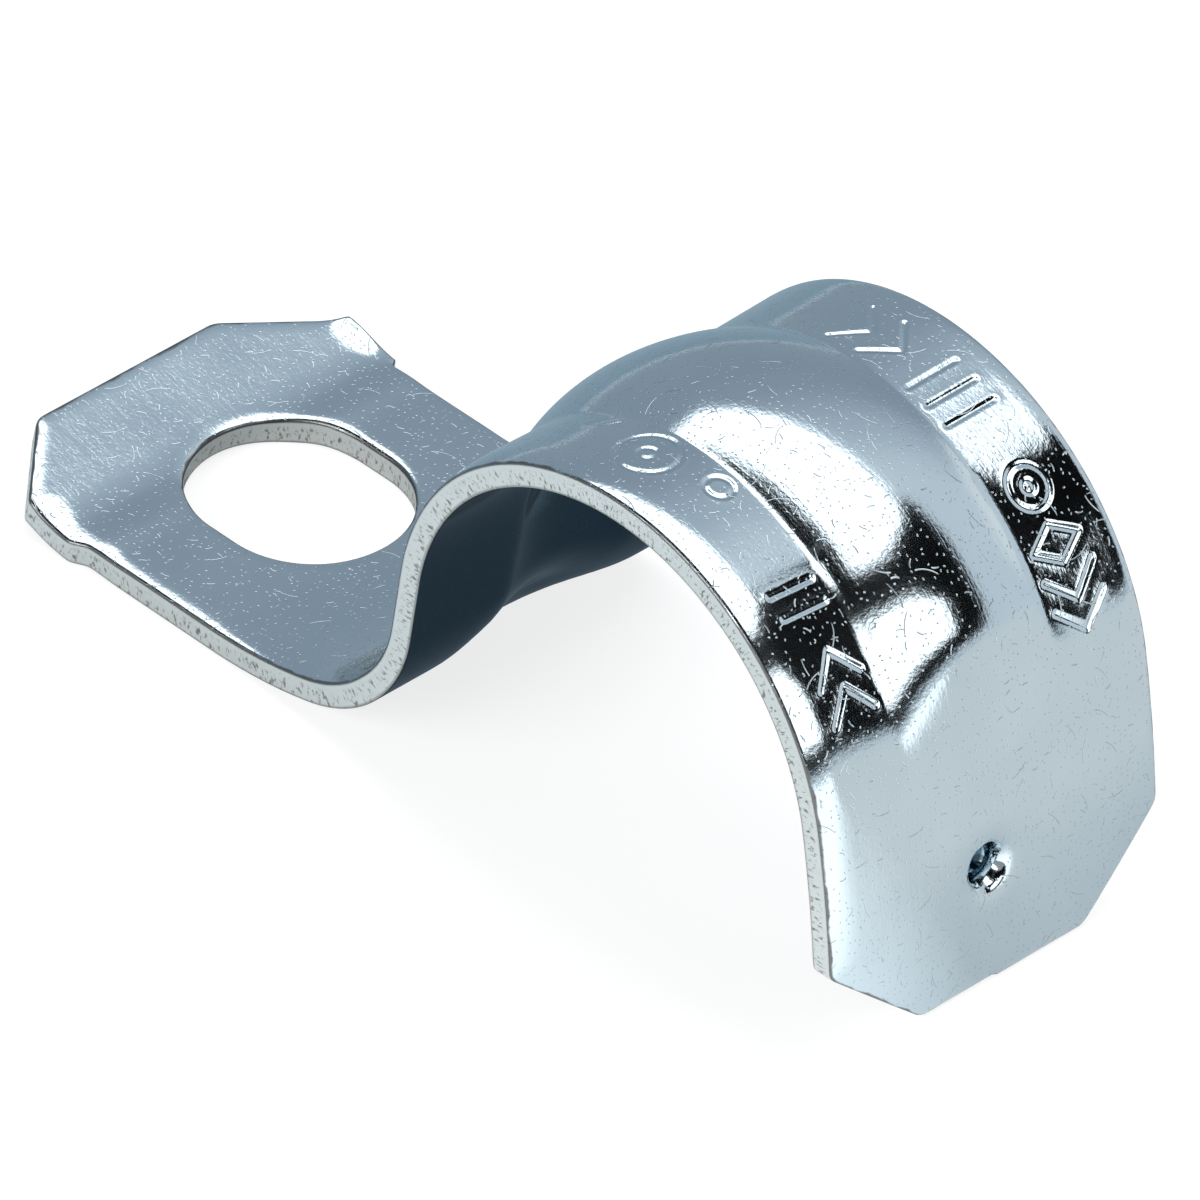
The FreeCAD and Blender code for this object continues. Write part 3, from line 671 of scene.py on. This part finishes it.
def brightZinc():
    # Zinc electroplate with a clear blue passivate over rolled steel: a bright, cool mirror
    # that the strip's fine grain, pits and handling scratches break up.
    material, tree, shader = newMaterial("bright zinc plate")
    shader.inputs["Metallic"].default_value = 1.0
    flat = addNode(tree, "ShaderNodeAttribute", {"attribute_name": "flatPlace"}, None, "Vector")
    place = addNode(tree, "ShaderNodeTexCoord", None, None, "Object")
    vectorMath = "ShaderNodeVectorMath"
    onFace = addNode(tree, vectorMath, {"operation": "MULTIPLY"}, {0: flat, 1: (1.0, 1.0, 0.0)})

    # Painted shade: the conduit's side is tinted darker and bluer, standing in for the shaded floor
    # that it mirrors under the strap.
    depth = addNode(tree, "ShaderNodeSeparateXYZ", None, {0: flat}, "Z")
    under = addNode(tree, "ShaderNodeMapRange", None,
                    {"Value": depth, "From Min": -0.5, "From Max": -0.4,
                     "To Min": 1.0, "To Max": 0.0})
    cloud = addNode(tree, "ShaderNodeTexNoise", None,
                    {"Vector": place, "Scale": zinc["cloudScale"], "Detail": 2.0})
    light, dark = (hexColour(code) for code in zinc["face"])
    tint = addNode(tree, "ShaderNodeMix", {"data_type": "RGBA"}, {0: cloud, 6: light, 7: dark}, 2)
    tint = addNode(tree, "ShaderNodeMix", {"data_type": "RGBA"},
                   {0: under, 6: tint, 7: hexColour(zinc["conduitSidePaintedShade"])}, 2)

    # Scratches lie at random: a cell holds one at most, turned by the cell's own colour.
    scratched = None
    for cell, reach, width in zinc["marks"]:
        cells = addNode(tree, "ShaderNodeTexVoronoi", {"voronoi_dimensions": "2D"},
                        {"Vector": onFace, "Scale": 1 / cell}).node.outputs
        colour = addNode(tree, "ShaderNodeSeparateColor", None, {0: cells["Color"]}).node.outputs
        turn = addNode(tree, "ShaderNodeMath", {"operation": "MULTIPLY"},
                       {0: colour[0], 1: 2 * math.pi})
        offset = addNode(tree, vectorMath, {"operation": "SUBTRACT"},
                         {0: onFace, 1: cells["Position"]})
        offset = addNode(tree, "ShaderNodeVectorRotate", {"rotation_type": "Z_AXIS"},
                         {"Vector": offset, "Angle": turn})
        # Part of a wide circle bows each hair a little.
        bow = addNode(tree, vectorMath, {"operation": "DISTANCE"},
                      {0: offset, 1: (0.0, 2.5 * reach, 0.0)}, "Value")
        away = addNode(tree, "ShaderNodeMath", {"operation": "SUBTRACT"}, {0: bow, 1: 2.5 * reach})
        away = addNode(tree, "ShaderNodeMath", {"operation": "ABSOLUTE"}, {0: away})
        line = addNode(tree, "ShaderNodeMapRange", None,
                       {"Value": away, "From Min": width * 0.3, "From Max": width,
                        "To Min": 1.0, "To Max": 0.0})
        ends = addNode(tree, vectorMath, {"operation": "LENGTH"}, {0: offset}, "Value")
        ends = addNode(tree, "ShaderNodeMapRange", None,
                       {"Value": ends, "From Min": reach * 0.7, "From Max": reach,
                        "To Min": 1.0, "To Max": 0.0})
        kept = addNode(tree, "ShaderNodeMath", {"operation": "GREATER_THAN"},
                       {0: colour[1], 1: zinc["clean"]})
        for share in (ends, kept):
            line = addNode(tree, "ShaderNodeMath", {"operation": "MULTIPLY"}, {0: line, 1: share})
        scratched = line if scratched is None else addNode(
            tree, "ShaderNodeMath", {"operation": "MAXIMUM"}, {0: scratched, 1: line})

    # They are fewer and fainter on the conduit's side.
    outside = addNode(tree, "ShaderNodeMapRange", None,
                      {"Value": under, "To Min": 1.0, "To Max": zinc["insideShare"]})
    scratched = addNode(tree, "ShaderNodeMath", {"operation": "MULTIPLY"}, {0: scratched, 1: outside})
    tint = addNode(tree, "ShaderNodeMix", {"data_type": "RGBA"},
                   {0: scratched, 6: tint, 7: hexColour(zinc["scratch"])}, 2)
    # The zinc is thin and brown at the very rim, more in some places than in others. Along the head's
    # end the wider rim is painted shade.
    rim = addNode(tree, "ShaderNodeAttribute", {"attribute_name": "rim"}, None, "Fac")
    wornAndShaded = addNode(tree, "ShaderNodeTexNoise", None,
                   {"Vector": place, "Scale": zinc["wearScale"], "Detail": 2.0})
    wornAndShaded = addNode(tree, "ShaderNodeMath", {"operation": "ADD"}, {0: rim, 1: wornAndShaded})
    wornAndShaded = addNode(tree, "ShaderNodeMapRange", None,
                   {"Value": wornAndShaded, "From Min": zinc["rimWornAndShaded"][0], "From Max": zinc["rimWornAndShaded"][1],
                    "To Min": 0.0, "To Max": zinc["rimShare"]})
    tint = addNode(tree, "ShaderNodeMix", {"data_type": "RGBA"},
                   {0: wornAndShaded, 6: tint, 7: hexColour(zinc["rim"])}, 2)
    tree.links.new(tint, shader.inputs["Base Color"])
    low, high = zinc["roughness"]
    rough = addNode(tree, "ShaderNodeMapRange", None,
                    {"Value": cloud, "From Min": 0.3, "From Max": 0.7,
                     "To Min": low, "To Max": high})
    rough = addNode(tree, "ShaderNodeMix", None,
                    {0: scratched, 2: rough, 3: zinc["scratchRoughness"]})
    rough = addNode(tree, "ShaderNodeMix", None, {0: wornAndShaded, 2: rough, 3: zinc["rimRoughness"]})
    tree.links.new(rough, shader.inputs["Roughness"])

    # Shallow dents from tumbling, the strip's own grain and rolling lines, then the scratches.
    lines = addNode(tree, vectorMath, {"operation": "DIVIDE"},
                    {0: flat, 1: (zinc["lineLength"], zinc["lineWidth"], 1.0)})
    bump = None
    for vector, scale, detail, height in (
            (place, 1 / (zinc["dent"] * millimetre), 1.0, zinc["dentHeight"]),
            (place, 1 / (zinc["grain"] * millimetre), 2.0, zinc["grainHeight"]),
            (lines, 1.0, 1.0, zinc["lineHeight"])):
        noise = addNode(tree, "ShaderNodeTexNoise", None,
                        {"Vector": vector, "Scale": scale, "Detail": detail, "Roughness": 0.6})
        given = {"Height": noise, "Distance": height * millimetre}
        if bump:
            given["Normal"] = bump
        bump = addNode(tree, "ShaderNodeBump", None, given)
    bump = addNode(tree, "ShaderNodeBump", {"invert": True},
                   {"Height": scratched, "Distance": zinc["markDepth"] * millimetre,
                    "Normal": bump})
    tree.links.new(bump, shader.inputs["Normal"])
    return material


sheared = {
    "steel": "#c1c6c4", "tear": "#565049", "metallic": 0.4, "roughness": 0.5,
    "tearSize": 0.13, "tearDepth": 0.03,  # millimetres
    "torn": (0.32, 0.1), "border": (0.38, 0.45),  # heights from the sheet's middle, in millimetres
    "tearLevel": (0.54, 0.62), "tearShare": 0.8, "borderShare": 0.55,
}


def shearedZinc():
    # Thin zinc over torn steel: pale, greenish grey and matt, with brown tear marks.
    material, tree, shader = newMaterial("zinc on sheared steel")
    shader.inputs["Metallic"].default_value = sheared["metallic"]
    shader.inputs["Roughness"].default_value = sheared["roughness"]
    flat = addNode(tree, "ShaderNodeAttribute", {"attribute_name": "flatPlace"}, None, "Vector")
    stretch = addNode(tree, "ShaderNodeMapping", None,
                      {"Vector": flat, "Rotation": (0.0, 0.5, 0.0), "Scale": (1.0, 1.0, 0.4)})
    tears = addNode(tree, "ShaderNodeTexNoise", None,
                    {"Vector": stretch, "Scale": 1 / sheared["tearSize"], "Detail": 4.0,
                     "Roughness": 0.65})
    deep = addNode(tree, "ShaderNodeMapRange", None,
                   {"Value": tears, "From Min": sheared["tearLevel"][0],
                    "From Max": sheared["tearLevel"][1]})
    height = addNode(tree, "ShaderNodeSeparateXYZ", None, {0: flat}, "Z")
    low = addNode(tree, "ShaderNodeMapRange", None,
                  {"Value": height, "From Min": sheared["torn"][0], "From Max": sheared["torn"][1],
                   "To Min": 0.0, "To Max": sheared["tearShare"]})
    deep = addNode(tree, "ShaderNodeMath", {"operation": "MULTIPLY"}, {0: deep, 1: low})
    # Along both corners of the edge the zinc is thin.
    height = addNode(tree, "ShaderNodeMath", {"operation": "ABSOLUTE"}, {0: height})
    border = addNode(tree, "ShaderNodeMapRange", None,
                     {"Value": height, "From Min": sheared["border"][0],
                      "From Max": sheared["border"][1], "To Min": 0.0,
                      "To Max": sheared["borderShare"]})
    deep = addNode(tree, "ShaderNodeMath", {"operation": "MAXIMUM"}, {0: deep, 1: border})
    tint = addNode(tree, "ShaderNodeMix", {"data_type": "RGBA"},
                   {0: deep, 6: hexColour(sheared["steel"]), 7: hexColour(sheared["tear"])}, 2)
    tree.links.new(tint, shader.inputs["Base Color"])
    bump = addNode(tree, "ShaderNodeBump", {"invert": True},
                   {"Height": tears, "Distance": sheared["tearDepth"] * millimetre})
    tree.links.new(bump, shader.inputs["Normal"])
    return material


# Strap


def foldStrap():
    maker = bpy.data.objects.new("blankMaker", buildBlank())
    bpy.context.scene.collection.objects.link(maker)
    tree = buildFoldTree()
    modifier = maker.modifiers.new("fold", "NODES")
    modifier.node_group = tree
    values = dict(form)
    values.update({"Fold Line": foldLine, "Marks": marks, "Head Start": starts["head"], "Seed": 4,
                   "Plate": brightZinc(), "Sheared": shearedZinc()})
    for item in tree.interface.items_tree:
        if item.in_out == "INPUT" and item.name in values:
            modifier[item.identifier] = values[item.name]
    bpy.context.view_layer.update()
    evaluated = maker.evaluated_get(bpy.context.evaluated_depsgraph_get())
    mesh = bpy.data.meshes.new_from_object(evaluated)
    mesh.name = "steelStrap"
    maker.modifiers.remove(modifier)
    for helper in (maker, foldLine, marks):
        bpy.data.objects.remove(helper)
    strap = bpy.data.objects.new("steel_strap", mesh)
    bpy.context.scene.collection.objects.link(strap)
    return strap


strap = foldStrap()
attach(strap, "root")
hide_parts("strap")
print("strap folded", len(strap.data.polygons), "faces")

# Stage: floor, studio light and camera

stage = {
    "floorSize": 1.6, "floorColour": "#8c8c8c", "floorGlow": 0.8, "floorRoughness": 0.9,
    # The floor's painted light in the metal, seen only by glossy rays: along x, on the near side,
    # whose edge slants away past slantFrom, and painted shade under the saddle
    "paintedReflection": ("#98aebc", "#fbfdfd"), "paintedReflectionFrom": (-8.0, 20.0),
    "nearGlow": 2.0, "nearFrom": (-6.0, -14.0), "nearSlant": -0.5, "slantFrom": 4.0,
    "shade": 0.3, "shadeLine": ((-24.0, 0.0, -7.0), (-2.0, 0.0, -7.0)), "shadeReach": (6.5, 9.0),
    "azimuth": 45.14, "elevation": 37.53, "roll": 1.85,
    "lookAt": (-7.811, 0.0, -2.344), "distance": 0.6, "lens": 554.3,
}


def makeFloor():
    bottom = cadBox[0].z
    bpy.ops.mesh.primitive_plane_add(size=stage["floorSize"], location=(0, 0, bottom))
    floor = bpy.context.object
    floor.name = "floor"
    material, tree, shader = newMaterial("lit opal acrylic with painted reflection")
    shader.inputs["Base Color"].default_value = hexColour(stage["floorColour"])
    shader.inputs["Emission Color"].default_value = (1.0, 1.0, 1.0, 1.0)
    shader.inputs["Emission Strength"].default_value = stage["floorGlow"]
    shader.inputs["Roughness"].default_value = stage["floorRoughness"]
    # Glossy rays see a painted reflection, not the lit floor: an emission brighter towards the tail's
    # side, with painted shade under the saddle.
    place = addNode(tree, "ShaderNodeNewGeometry", None, None, "Position")
    place = addNode(tree, "ShaderNodeVectorMath", {"operation": "SCALE"},
                    {0: place, "Scale": 1 / millimetre})
    part = addNode(tree, "ShaderNodeSeparateXYZ", None, {0: place}).node.outputs
    tailSide = addNode(tree, "ShaderNodeMapRange", None,
                       {"Value": part["X"], "From Min": stage["paintedReflectionFrom"][0],
                        "From Max": stage["paintedReflectionFrom"][1]})
    dim, bright = (hexColour(code) for code in stage["paintedReflection"])
    paintedReflection = addNode(tree, "ShaderNodeMix", {"data_type": "RGBA"},
                       {0: tailSide, 6: dim, 7: bright}, 2)
    # The painted glow on the near side starts further back towards the tail's side.
    slant = addNode(tree, "ShaderNodeMath", {"operation": "MAXIMUM"},
                    {0: part["X"], 1: stage["slantFrom"]})
    slant = addNode(tree, "ShaderNodeMath", {"operation": "MULTIPLY_ADD"},
                    {0: slant, 1: stage["nearSlant"], 2: part["Y"]})
    nearGlow = addNode(tree, "ShaderNodeMapRange", None,
                       {"Value": slant, "From Min": stage["nearFrom"][0],
                        "From Max": stage["nearFrom"][1],
                        "To Min": 1.0, "To Max": stage["nearGlow"]})
    nearest = addNode(tree, "ShaderNodeVectorMath", {"operation": "MAXIMUM"},
                      {0: place, 1: stage["shadeLine"][0]})
    nearest = addNode(tree, "ShaderNodeVectorMath", {"operation": "MINIMUM"},
                      {0: nearest, 1: stage["shadeLine"][1]})
    away = addNode(tree, "ShaderNodeVectorMath", {"operation": "DISTANCE"},
                   {0: place, 1: nearest}, "Value")
    shade = addNode(tree, "ShaderNodeMapRange", {"interpolation_type": "SMOOTHSTEP"},
                    {"Value": away, "From Min": stage["shadeReach"][0],
                     "From Max": stage["shadeReach"][1], "To Min": stage["shade"]})
    strength = addNode(tree, "ShaderNodeMath", {"operation": "MULTIPLY"}, {0: nearGlow, 1: shade})
    glow = addNode(tree, "ShaderNodeEmission", None, {"Color": paintedReflection, "Strength": strength})
    # Painted reflection: only glossy rays see this emission; the camera sees the plain lit floor.
    ray = addNode(tree, "ShaderNodeLightPath", None, None, "Is Glossy Ray")
    lit = addNode(tree, "ShaderNodeMixShader", None, {0: ray, 1: shader.outputs[0], 2: glow})
    output = tree.nodes["Material Output"]
    tree.links.new(lit, output.inputs["Surface"])
    floor.data.materials.append(material)


# The studio is laid out by two angles in degrees: round the conduit's axis from the tail's side
# up and over, and out of that round towards the far side.
studio = {
    # Walls and ceiling, brightest above the tail
    "walls": [(1, "#f0f7fd"), (78, "#eff6fc"), (90, "#e4ecf3"), (102, "#cfdae4"), (112, "#c6d1dc"),
              (132, "#acb7c3"), (150, "#a4b1bd")],
    "dark": 0.005,
    # Corners of the dark openings, anticlockwise
    "gaps": [
        [(3, -40), (71, -40), (71, 40), (65, 43), (50, 46.5), (12, 46.5), (3, 42)],
        [(70, -40), (135, -40), (135, 2), (70, 2)],
    ],
    # Corners of the soft boxes, anticlockwise, and their brightness
    "boxes": [
        ([(56.5, 1), (137, 1), (137, 14), (118, 25), (88.5, 33.5), (66, 33.5), (56.5, 18)], 2.6),
        ([(12, -6), (41, -6), (41, 19), (31, 30), (12, 30)], 2.6),
        ([(-10, -88), (170, -88), (170, -38), (-10, -38)], 0.45),  # the near wall, in shade
        ([(62, -74), (132, -74), (132, -44), (62, -44)], 7.5),
        ([(-10, 71), (170, 71), (170, 88), (-10, 88)], 1.1),
    ],
    "softness": 2.8,
}


def makeWorld():
    # A soft studio: boxes overhead, low in front and on both sides, between grey walls
    world = bpy.data.worlds.new("studio")
    bpy.context.scene.world = world
    world.use_nodes = True
    tree = world.node_tree
    tree.nodes.clear()
    maths = "ShaderNodeMath"
    facing = addNode(tree, "ShaderNodeTexCoord", None, None, "Generated")
    facing = addNode(tree, "ShaderNodeVectorMath", {"operation": "NORMALIZE"}, {0: facing})
    facing = addNode(tree, "ShaderNodeSeparateXYZ", None, {0: facing}).node.outputs
    around = addNode(tree, maths, {"operation": "ARCTAN2"}, {0: facing["Z"], 1: facing["X"]})
    out = addNode(tree, maths, {"operation": "ARCSINE"}, {0: facing["Y"]})
    around, out = (addNode(tree, maths, {"operation": "DEGREES"}, {0: angle})
                   for angle in (around, out))
    spot = addNode(tree, "ShaderNodeCombineXYZ", None, {"X": around, "Y": out, "Z": 1.0})

    ramp = addNode(tree, "ShaderNodeValToRGB", None,
                   {0: addNode(tree, maths, {"operation": "DIVIDE"}, {0: around, 1: 180.0})})
    stops = ramp.node.color_ramp.elements
    for angle, code in studio["walls"]:
        stops.new(angle / 180).color = hexColour(code)
    stops.remove(stops[0])
    stops.remove(stops[-1])
    shade = [(corners, None) for corners in studio["gaps"]] + studio["boxes"]
    light = ramp
    for corners, brightness in shade:
        # A point is inside where it lies on the left of every side.
        inside = None
        for (a, b), (c, d) in zip(corners, corners[1:] + corners[:1]):
            across = Vector((b - d, c - a)).normalized()
            side = (*across, -across.dot((a, b)))
            share = addNode(tree, "ShaderNodeVectorMath", {"operation": "DOT_PRODUCT"},
                            {0: spot, 1: side}, "Value")
            share = addNode(tree, "ShaderNodeMapRange", {"interpolation_type": "SMOOTHSTEP"},
                            {"Value": share, "From Min": -studio["softness"],
                             "From Max": studio["softness"]})
            inside = share if inside is None else addNode(
                tree, maths, {"operation": "MULTIPLY"}, {0: inside, 1: share})
        colour = (studio["dark"],) * 3 if brightness is None else (brightness,) * 3
        light = addNode(tree, "ShaderNodeMix", {"data_type": "RGBA"},
                        {0: inside, 6: light, 7: (*colour, 1.0)}, 2)
    background = addNode(tree, "ShaderNodeBackground", None, {"Color": light})
    addNode(tree, "ShaderNodeOutputWorld", None, {"Surface": background})


def makeCamera():
    azimuth, elevation, roll = (math.radians(stage[k]) for k in ("azimuth", "elevation", "roll"))
    back = Vector((math.sin(azimuth) * math.cos(elevation),
                   -math.cos(azimuth) * math.cos(elevation), math.sin(elevation)))
    level = Vector((math.cos(azimuth), math.sin(azimuth), 0))
    upright = back.cross(level)
    right = math.cos(roll) * level + math.sin(roll) * upright
    top = -math.sin(roll) * level + math.cos(roll) * upright
    data = bpy.data.cameras.new("camera")
    data.sensor_width = 36
    data.lens = stage["lens"]
    data.clip_start, data.clip_end = 0.01, 10
    camera = bpy.data.objects.new("camera", data)
    bpy.context.scene.collection.objects.link(camera)
    turned = Matrix((right, top, back)).transposed().to_4x4()
    target = Vector(stage["lookAt"]) * millimetre
    camera.matrix_world = Matrix.Translation(target + back * stage["distance"]) @ turned
    bpy.context.scene.camera = camera


makeFloor()
makeWorld()
makeCamera()
bpy.context.scene.view_settings.view_transform = "Standard"
print("stage set")
